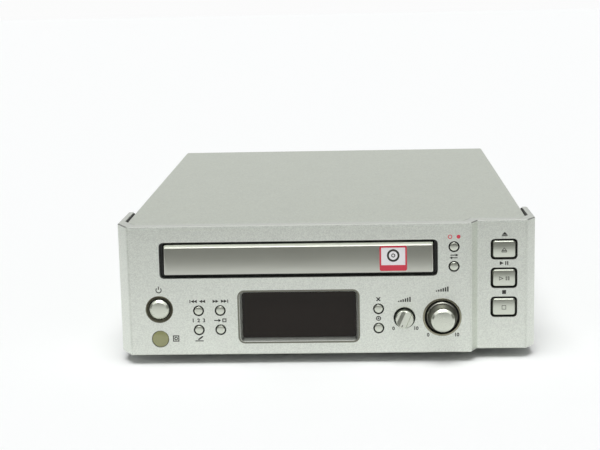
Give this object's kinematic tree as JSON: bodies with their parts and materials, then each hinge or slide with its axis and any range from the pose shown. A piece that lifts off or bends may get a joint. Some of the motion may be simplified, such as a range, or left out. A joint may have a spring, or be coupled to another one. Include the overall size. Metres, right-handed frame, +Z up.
{
  "type": "compact disc recorder",
  "caption": "Half-width hi-fi compact disc recorder with a sliding disc tray, a display window, push buttons and two level knobs on a silver front, on low feet.",
  "frame": {"origin": "centre of the floor area that the recorder covers, on the plane of its feet", "axes": "+X to the right seen from the front, +Y from the front towards the rear, +Z up"},
  "size_m": [0.215, 0.291, 0.0727],
  "materials": {
    "satin_silver": "satin champagne silver",
    "cap_silver": "bright silver plating",
    "cover_paint": "metallic grey-beige paint",
    "black_plastic": "matte black moulding",
    "gloss_black": "glossy black",
    "smoked_acrylic": "smoked, polished",
    "sensor_tint": "olive tint, polished",
    "zinc_steel": "zinc plated sheet",
    "dark_rubber": "matte",
    "board_green": "green solder mask",
    "white_nylon": "natural nylon",
    "display_glass": "clear envelope over a dark grid",
    "lens_glass": "coated, polished",
    "core_iron": "varnished laminations",
    "screw_steel": "bright plated"
  },
  "bodies": {
    "case": {"front_panel": "satin_silver", "display_bezel": "satin_silver", "front_subpanel": "black_plastic", "top_cover": "cover_paint", "rear_panel": "cover_paint", "bottom_chassis": "zinc_steel", "foot_front_left": "dark_rubber", "foot_front_right": "dark_rubber", "foot_rear_left": "dark_rubber", "foot_rear_right": "dark_rubber", "cover_screw_front_left": "screw_steel", "cover_screw_front_right": "screw_steel", "cover_screw_rear_left": "screw_steel", "cover_screw_rear_right": "screw_steel", "display_window": "smoked_acrylic", "display_tube": "display_glass", "sensor_window": "sensor_tint", "standby_ring": "gloss_black", "knob_dish": "gloss_black", "front_board": "board_green", "key_board": "board_green", "main_board": "board_green", "power_transformer": "core_iron", "rca_jacks": "black_plastic", "optical_jacks": "black_plastic", "power_inlet": "black_plastic", "loader_frame": "black_plastic", "loading_motor": "zinc_steel", "clamper_bridge": "zinc_steel", "drive_belt": "dark_rubber"},
    "tray": {"disc_tray": "black_plastic", "tray_door": "satin_silver"},
    "tray_gear": {"tray_gear": "white_nylon"},
    "pulley_gear": {"pulley_gear": "white_nylon"},
    "motor_pulley": {"motor_pulley": "white_nylon"},
    "lift_slider": {"lift_slider": "white_nylon"},
    "traverse": {"traverse": "zinc_steel", "guide_rod_left": "zinc_steel", "guide_rod_right": "zinc_steel", "spindle_motor": "zinc_steel", "feed_motor": "zinc_steel"},
    "turntable": {"turntable": "black_plastic"},
    "sled": {"pickup_sled": "black_plastic"},
    "lens": {"pickup_lens": "lens_glass"},
    "feed_gear": {"feed_gear": "white_nylon"},
    "clamper": {"clamper": "black_plastic"},
    "standby_button": {"standby_button": "cap_silver"},
    "track_back_button": {"track_back_button": "cap_silver"},
    "track_next_button": {"track_next_button": "cap_silver"},
    "write_button": {"write_button": "cap_silver"},
    "input_button": {"input_button": "cap_silver"},
    "erase_button": {"erase_button": "cap_silver"},
    "finalize_button": {"finalize_button": "cap_silver"},
    "record_button": {"record_button": "cap_silver"},
    "sync_button": {"sync_button": "cap_silver"},
    "open_close_button": {"open_close_button": "cap_silver"},
    "play_pause_button": {"play_pause_button": "cap_silver"},
    "stop_button": {"stop_button": "cap_silver"},
    "analog_knob": {"analog_knob": "cap_silver"},
    "digital_knob": {"digital_knob": "cap_silver"}
  },
  "joints": [
    {"name": "tray_slide", "type": "slide", "parent": "case", "child": "tray", "axis": [0, -1, 0], "range_m": [0, 0.135]},
    {"name": "tray_gear_spin", "type": "hinge", "parent": "case", "child": "tray_gear", "pos_m": [-0.06383, -0.0965, 0.047], "axis": [0, 0, 1], "range_deg": [-5, 865]},
    {"name": "pulley_gear_spin", "type": "hinge", "parent": "case", "child": "pulley_gear", "pos_m": [-0.06383, -0.0805, 0.043], "axis": [0, 0, 1], "range_deg": [-2590, 15]},
    {"name": "motor_pulley_spin", "type": "hinge", "parent": "case", "child": "motor_pulley", "pos_m": [-0.06383, -0.0555, 0.041], "axis": [0, 0, 1], "range_deg": [-10200, 20]},
    {"name": "traverse_tilt", "type": "hinge", "parent": "case", "child": "traverse", "pos_m": [-0.0141, 0.013, 0.03402], "axis": [-1, 0, 0], "range_deg": [0, 5.5]},
    {"name": "lift_slide", "type": "slide", "parent": "case", "child": "lift_slider", "axis": [1, 0, 0], "range_m": [0, 0.0141]},
    {"name": "turntable_spin", "type": "hinge", "parent": "traverse", "child": "turntable", "pos_m": [-0.0141, -0.06464, 0.02654], "axis": [0, -0.0958, 0.9954], "continuous": true},
    {"name": "sled_slide", "type": "slide", "parent": "traverse", "child": "sled", "axis": [0, 0.9954, 0.0958], "range_m": [0, 0.035]},
    {"name": "lens_focus", "type": "slide", "parent": "sled", "child": "lens", "axis": [0, -0.0958, 0.9954], "range_m": [-0.0004, 0.0004], "stiffness_N_per_m": 200},
    {"name": "feed_gear_spin", "type": "hinge", "parent": "traverse", "child": "feed_gear", "pos_m": [0.01175, -0.0094, 0.03186], "axis": [0, -0.0958, 0.9954], "range_deg": [-255, 5]},
    {"name": "clamper_spin", "type": "hinge", "parent": "case", "child": "clamper", "pos_m": [-0.0141, -0.065, 0.0625], "axis": [0, 0, 1], "continuous": true},
    {"name": "standby_press", "type": "slide", "parent": "case", "child": "standby_button", "axis": [0, 1, 0], "range_m": [0, 0.0005], "stiffness_N_per_m": 300},
    {"name": "track_back_press", "type": "slide", "parent": "case", "child": "track_back_button", "axis": [0, 1, 0], "range_m": [0, 0.0005], "stiffness_N_per_m": 200},
    {"name": "track_next_press", "type": "slide", "parent": "case", "child": "track_next_button", "axis": [0, 1, 0], "range_m": [0, 0.0005], "stiffness_N_per_m": 200},
    {"name": "write_press", "type": "slide", "parent": "case", "child": "write_button", "axis": [0, 1, 0], "range_m": [0, 0.0005], "stiffness_N_per_m": 200},
    {"name": "input_press", "type": "slide", "parent": "case", "child": "input_button", "axis": [0, 1, 0], "range_m": [0, 0.0005], "stiffness_N_per_m": 200},
    {"name": "erase_press", "type": "slide", "parent": "case", "child": "erase_button", "axis": [0, 1, 0], "range_m": [0, 0.0005], "stiffness_N_per_m": 200},
    {"name": "finalize_press", "type": "slide", "parent": "case", "child": "finalize_button", "axis": [0, 1, 0], "range_m": [0, 0.0005], "stiffness_N_per_m": 200},
    {"name": "record_press", "type": "slide", "parent": "case", "child": "record_button", "axis": [0, 1, 0], "range_m": [0, 0.0005], "stiffness_N_per_m": 200},
    {"name": "sync_press", "type": "slide", "parent": "case", "child": "sync_button", "axis": [0, 1, 0], "range_m": [0, 0.0005], "stiffness_N_per_m": 200},
    {"name": "open_close_press", "type": "slide", "parent": "case", "child": "open_close_button", "axis": [0, 1, 0], "range_m": [0, 0.0005], "stiffness_N_per_m": 300},
    {"name": "play_pause_press", "type": "slide", "parent": "case", "child": "play_pause_button", "axis": [0, 1, 0], "range_m": [0, 0.0005], "stiffness_N_per_m": 300},
    {"name": "stop_press", "type": "slide", "parent": "case", "child": "stop_button", "axis": [0, 1, 0], "range_m": [0, 0.0005], "stiffness_N_per_m": 300},
    {"name": "analog_turn", "type": "hinge", "parent": "case", "child": "analog_knob", "pos_m": [0.03985, -0.137, 0.02352], "axis": [0, 1, 0], "range_deg": [0, 300]},
    {"name": "digital_turn", "type": "hinge", "parent": "case", "child": "digital_knob", "pos_m": [0.0591, -0.137, 0.02365], "axis": [0, 1, 0], "continuous": true}
  ],
  "couplings": [
    {"joint": "tray_gear_spin", "follows": "tray_slide", "rad_per_m": 111.11},
    {"joint": "pulley_gear_spin", "follows": "tray_slide", "rad_per_m": -333.33},
    {"joint": "motor_pulley_spin", "follows": "tray_slide", "rad_per_m": -1314.5},
    {"joint": "lift_slide", "follows": "traverse_tilt", "m_per_rad": 0.14584},
    {"joint": "feed_gear_spin", "follows": "sled_slide", "rad_per_m": -125}
  ]
}
